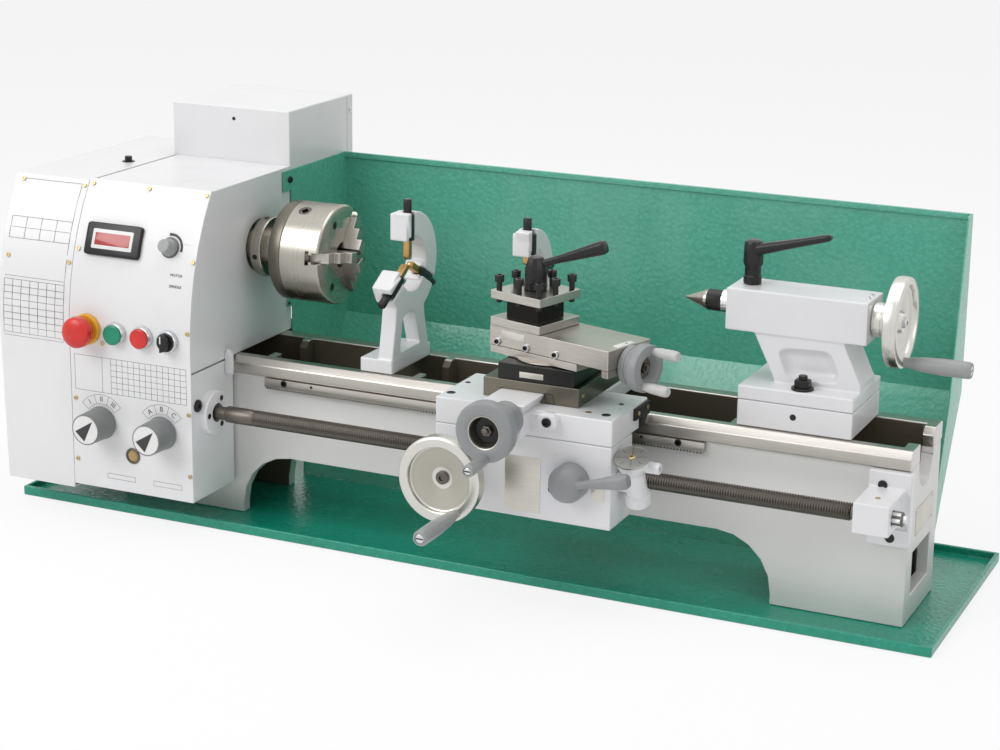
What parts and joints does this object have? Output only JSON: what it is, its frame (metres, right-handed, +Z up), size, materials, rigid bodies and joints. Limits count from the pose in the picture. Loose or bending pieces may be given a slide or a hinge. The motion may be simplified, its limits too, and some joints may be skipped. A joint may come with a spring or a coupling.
{
  "type": "metal lathe",
  "caption": "Bench metal lathe: geared headstock with chuck and leadscrew, carriage with swivelling top slide, steady and follow rests, tailstock, drip tray and splash guard.",
  "frame": {"origin": "underside of the drip tray, on the solid sheet, in line with the headstock's right face and the spindle axis", "axes": "+X along the bed from headstock to tailstock, +Y away from the operator, +Z up"},
  "size_m": [1.175, 0.57, 0.485],
  "materials": {
    "apron": "painted",
    "bed": "painted",
    "carriage_grip": "plain",
    "carriage_wheel": "plain",
    "chuck_back_plate": "plain",
    "chuck_body": "plain",
    "chuck_jaw_1": "plain",
    "chuck_jaw_2": "plain",
    "chuck_jaw_3": "plain",
    "cross_grip": "plain",
    "cross_slide": "plain",
    "cross_wheel": "plain",
    "direction_switch": "plain",
    "drip_tray": "painted",
    "drive_belt": "plain",
    "electrical_box": "painted",
    "emergency_stop": "plain",
    "end_cover": "painted",
    "follow_finger_1": "plain",
    "follow_finger_2": "plain",
    "follow_rest": "painted",
    "front_panel": "painted",
    "gearbox_casting": "painted",
    "half_nut": "plain",
    "half_nut_lever": "painted",
    "headstock_casting": "painted",
    "idler_gear": "plain",
    "leadscrew": "plain",
    "leadscrew_bracket": "painted",
    "left_gear_knob": "plain",
    "motor": "painted",
    "motor_pulley": "plain",
    "quill": "plain",
    "quill_lock_lever": "plain",
    "rack": "plain",
    "right_gear_knob": "plain",
    "saddle": "painted",
    "speed_knob": "plain",
    "spindle": "plain",
    "spindle_bearings": "plain",
    "spindle_pulley": "plain",
    "splash_guard": "painted",
    "start_button": "plain",
    "steady_finger_1": "plain",
    "steady_finger_2": "plain",
    "steady_finger_3": "plain",
    "steady_rest": "painted",
    "stop_button": "plain",
    "swivel_base": "plain",
    "tailstock_base": "painted",
    "tailstock_body": "painted",
    "tailstock_grip": "plain",
    "tailstock_wheel": "plain",
    "thread_dial": "plain",
    "thread_dial_housing": "painted",
    "tool_post": "plain",
    "tool_post_lever": "plain",
    "top_slide": "plain",
    "top_slide_base": "plain",
    "top_slide_wheel": "plain"
  },
  "bodies": {
    "frame": {"drip_tray": "drip_tray", "splash_guard": "splash_guard", "bed": "bed", "rack": "rack", "headstock_casting": "headstock_casting", "gearbox_casting": "gearbox_casting", "front_panel": "front_panel", "electrical_box": "electrical_box", "motor": "motor", "spindle_bearings": "spindle_bearings", "leadscrew_bracket": "leadscrew_bracket", "drive_belt": "drive_belt"},
    "cover": {"end_cover": "end_cover"},
    "spindle_line": {"spindle": "spindle", "spindle_pulley": "spindle_pulley", "chuck_back_plate": "chuck_back_plate", "chuck_body": "chuck_body"},
    "jaw_one": {"chuck_jaw_1": "chuck_jaw_1"},
    "jaw_two": {"chuck_jaw_2": "chuck_jaw_2"},
    "jaw_three": {"chuck_jaw_3": "chuck_jaw_3"},
    "motor_shaft": {"motor_pulley": "motor_pulley"},
    "idler": {"idler_gear": "idler_gear"},
    "leadscrew_line": {"leadscrew": "leadscrew"},
    "carriage": {"saddle": "saddle", "apron": "apron", "thread_dial_housing": "thread_dial_housing", "follow_rest": "follow_rest"},
    "follow_top_finger": {"follow_finger_1": "follow_finger_1"},
    "follow_back_finger": {"follow_finger_2": "follow_finger_2"},
    "carriage_wheel_line": {"carriage_wheel": "carriage_wheel"},
    "carriage_wheel_grip": {"carriage_grip": "carriage_grip"},
    "nut": {"half_nut": "half_nut"},
    "nut_lever": {"half_nut_lever": "half_nut_lever"},
    "dial": {"thread_dial": "thread_dial"},
    "cross_line": {"cross_slide": "cross_slide", "swivel_base": "swivel_base"},
    "cross_wheel_line": {"cross_wheel": "cross_wheel"},
    "cross_wheel_grip": {"cross_grip": "cross_grip"},
    "compound": {"top_slide_base": "top_slide_base"},
    "top_slide_line": {"top_slide": "top_slide"},
    "top_wheel_line": {"top_slide_wheel": "top_slide_wheel"},
    "post": {"tool_post": "tool_post"},
    "post_lever": {"tool_post_lever": "tool_post_lever"},
    "steady": {"steady_rest": "steady_rest"},
    "steady_top_finger": {"steady_finger_1": "steady_finger_1"},
    "steady_front_finger": {"steady_finger_2": "steady_finger_2"},
    "steady_back_finger": {"steady_finger_3": "steady_finger_3"},
    "tailstock": {"tailstock_base": "tailstock_base", "tailstock_body": "tailstock_body"},
    "quill_line": {"quill": "quill"},
    "quill_lock": {"quill_lock_lever": "quill_lock_lever"},
    "tail_wheel_line": {"tailstock_wheel": "tailstock_wheel"},
    "tail_wheel_grip": {"tailstock_grip": "tailstock_grip"},
    "stop_mushroom": {"emergency_stop": "emergency_stop"},
    "start_cap": {"start_button": "start_button"},
    "stop_cap": {"stop_button": "stop_button"},
    "direction_knob": {"direction_switch": "direction_switch"},
    "speed_dial": {"speed_knob": "speed_knob"},
    "gear_dial_left": {"left_gear_knob": "left_gear_knob"},
    "gear_dial_right": {"right_gear_knob": "right_gear_knob"}
  },
  "joints": [
    {"name": "cover_swing", "type": "hinge", "parent": "frame", "child": "cover", "pos_m": [-0.173, 0.182, 0.33], "axis": [0, 0, -1], "range_deg": [0, 85]},
    {"name": "spindle_turn", "type": "hinge", "parent": "frame", "child": "spindle_line", "pos_m": [0, 0, 0.33], "axis": [1, 0, 0], "continuous": true},
    {"name": "motor_turn", "type": "hinge", "parent": "frame", "child": "motor_shaft", "pos_m": [0, 0.13, 0.15], "axis": [1, 0, 0], "continuous": true},
    {"name": "idler_turn", "type": "hinge", "parent": "frame", "child": "idler", "pos_m": [0, -0.04764, 0.23085], "axis": [1, 0, 0], "continuous": true},
    {"name": "leadscrew_turn", "type": "hinge", "parent": "frame", "child": "leadscrew_line", "pos_m": [0, -0.12, 0.148], "axis": [1, 0, 0], "continuous": true},
    {"name": "jaw_one_slide", "type": "slide", "parent": "spindle_line", "child": "jaw_one", "axis": [0, -0.9945, 0.1045], "range_m": [-0.0015, 0.013]},
    {"name": "jaw_two_slide", "type": "slide", "parent": "spindle_line", "child": "jaw_two", "axis": [0, 0.4067, -0.9135], "range_m": [-0.0015, 0.013]},
    {"name": "jaw_three_slide", "type": "slide", "parent": "spindle_line", "child": "jaw_three", "axis": [0, 0.5878, 0.809], "range_m": [-0.0015, 0.013]},
    {"name": "carriage_slide", "type": "slide", "parent": "frame", "child": "carriage", "axis": [-1, 0, 0], "range_m": [-0.035, 0.075]},
    {"name": "carriage_wheel_turn", "type": "hinge", "parent": "carriage", "child": "carriage_wheel_line", "pos_m": [0.364, -0.168, 0.152], "axis": [0, 1, 0], "continuous": true},
    {"name": "carriage_grip_turn", "type": "hinge", "parent": "carriage_wheel_line", "child": "carriage_wheel_grip", "pos_m": [0.3866, -0.238, 0.11719], "axis": [0, 1, 0], "continuous": true},
    {"name": "half_nut_lever_turn", "type": "hinge", "parent": "carriage", "child": "nut_lever", "pos_m": [0.494, -0.168, 0.151], "axis": [0, 1, 0], "range_deg": [0, 28]},
    {"name": "half_nut_slide", "type": "slide", "parent": "carriage", "child": "nut", "axis": [0, 0, -1], "range_m": [0, 0.0038]},
    {"name": "thread_dial_turn", "type": "hinge", "parent": "carriage", "child": "dial", "pos_m": [0.5606, -0.15848, 0.18263], "axis": [0, -0.3746, 0.9272], "continuous": true},
    {"name": "follow_top_finger_slide", "type": "slide", "parent": "carriage", "child": "follow_top_finger", "axis": [0, 0, 1], "range_m": [0, 0.016]},
    {"name": "follow_back_finger_slide", "type": "slide", "parent": "carriage", "child": "follow_back_finger", "axis": [0, 1, 0], "range_m": [0, 0.016]},
    {"name": "cross_slide_travel", "type": "slide", "parent": "carriage", "child": "cross_line", "axis": [0, 1, 0], "range_m": [-0.054, 0.03]},
    {"name": "cross_wheel_turn", "type": "hinge", "parent": "carriage", "child": "cross_wheel_line", "pos_m": [0.428, -0.195, 0.2215], "axis": [0, 1, 0], "continuous": true},
    {"name": "cross_grip_turn", "type": "hinge", "parent": "cross_wheel_line", "child": "cross_wheel_grip", "pos_m": [0.43009, -0.259, 0.19157], "axis": [0, 1, 0], "continuous": true},
    {"name": "compound_swivel", "type": "hinge", "parent": "cross_line", "child": "compound", "pos_m": [0.4355, -0.0935, 0.2663], "axis": [0, 0, 1], "range_deg": [-30, 30]},
    {"name": "top_slide_travel", "type": "slide", "parent": "compound", "child": "top_slide_line", "axis": [0.9613, -0.2756, 0], "range_m": [-0.03, 0.025]},
    {"name": "top_wheel_turn", "type": "hinge", "parent": "top_slide_line", "child": "top_wheel_line", "pos_m": [0.53815, -0.11825, 0.2768], "axis": [0.9613, -0.2756, 0], "continuous": true},
    {"name": "tool_post_turn", "type": "hinge", "parent": "top_slide_line", "child": "post", "pos_m": [0.41004, -0.08506, 0.2991], "axis": [0, 0, 1], "continuous": true},
    {"name": "tool_post_lever_turn", "type": "hinge", "parent": "post", "child": "post_lever", "pos_m": [0.41004, -0.08506, 0.3404], "axis": [0, 0, 1], "range_deg": [-60, 40]},
    {"name": "steady_slide", "type": "slide", "parent": "frame", "child": "steady", "axis": [1, 0, 0], "range_m": [-0.04, 0.02]},
    {"name": "steady_top_finger_slide", "type": "slide", "parent": "steady", "child": "steady_top_finger", "axis": [0, 0, 1], "range_m": [0, 0.016]},
    {"name": "steady_front_finger_slide", "type": "slide", "parent": "steady", "child": "steady_front_finger", "axis": [0, -0.866, -0.5], "range_m": [0, 0.016]},
    {"name": "steady_back_finger_slide", "type": "slide", "parent": "steady", "child": "steady_back_finger", "axis": [0, 0.866, -0.5], "range_m": [0, 0.016]},
    {"name": "tailstock_slide", "type": "slide", "parent": "frame", "child": "tailstock", "axis": [1, 0, 0], "range_m": [-0.015, 0.06]},
    {"name": "quill_travel", "type": "slide", "parent": "tailstock", "child": "quill_line", "axis": [-1, 0, 0], "range_m": [0, 0.055]},
    {"name": "quill_lock_turn", "type": "hinge", "parent": "tailstock", "child": "quill_lock", "pos_m": [0.637, 0, 0.3543], "axis": [0, 0, 1], "range_deg": [-40, 40]},
    {"name": "tailstock_wheel_turn", "type": "hinge", "parent": "tailstock", "child": "tail_wheel_line", "pos_m": [0, 0, 0.33], "axis": [1, 0, 0], "continuous": true},
    {"name": "tailstock_grip_turn", "type": "hinge", "parent": "tail_wheel_line", "child": "tail_wheel_grip", "pos_m": [0.8155, -0.00747, 0.28765], "axis": [1, 0, 0], "continuous": true},
    {"name": "emergency_stop_press", "type": "slide", "parent": "frame", "child": "stop_mushroom", "axis": [0, 0.9997, -0.0258], "range_m": [0, 0.004]},
    {"name": "start_press", "type": "slide", "parent": "frame", "child": "start_cap", "axis": [0, 0.9997, -0.0227], "range_m": [0, 0.0025], "stiffness_N_per_m": 300},
    {"name": "stop_press", "type": "slide", "parent": "frame", "child": "stop_cap", "axis": [0, 0.9997, -0.0227], "range_m": [0, 0.0025], "stiffness_N_per_m": 300},
    {"name": "direction_switch_turn", "type": "hinge", "parent": "frame", "child": "direction_knob", "pos_m": [-0.03, -0.16293, 0.242], "axis": [0, -0.9998, 0.0212], "range_deg": [-45, 45]},
    {"name": "speed_knob_turn", "type": "hinge", "parent": "frame", "child": "speed_dial", "pos_m": [-0.038, -0.14194, 0.351], "axis": [0, -0.9362, 0.3515], "range_deg": [-135, 135]},
    {"name": "left_gear_knob_turn", "type": "hinge", "parent": "frame", "child": "gear_dial_left", "pos_m": [-0.128, -0.163, 0.128], "axis": [0, -1, 0], "range_deg": [-40, 40]},
    {"name": "right_gear_knob_turn", "type": "hinge", "parent": "frame", "child": "gear_dial_right", "pos_m": [-0.042, -0.163, 0.127], "axis": [0, -1, 0], "range_deg": [-40, 40]}
  ],
  "couplings": [
    {"joint": "jaw_two_slide", "follows": "jaw_one_slide", "ratio": 1},
    {"joint": "jaw_three_slide", "follows": "jaw_one_slide", "ratio": 1},
    {"joint": "motor_turn", "follows": "spindle_turn", "ratio": 1.8182},
    {"joint": "idler_turn", "follows": "spindle_turn", "ratio": -0.375},
    {"joint": "leadscrew_turn", "follows": "spindle_turn", "ratio": 1},
    {"joint": "carriage_wheel_turn", "follows": "carriage_slide", "rad_per_m": 200},
    {"joint": "thread_dial_turn", "follows": "carriage_slide", "rad_per_m": 100},
    {"joint": "half_nut_slide", "follows": "half_nut_lever_turn", "m_per_rad": 0.007571},
    {"joint": "cross_wheel_turn", "follows": "cross_slide_travel", "rad_per_m": 2094.4},
    {"joint": "top_wheel_turn", "follows": "top_slide_travel", "rad_per_m": -3141.6},
    {"joint": "tailstock_wheel_turn", "follows": "quill_travel", "rad_per_m": -2094.4}
  ]
}
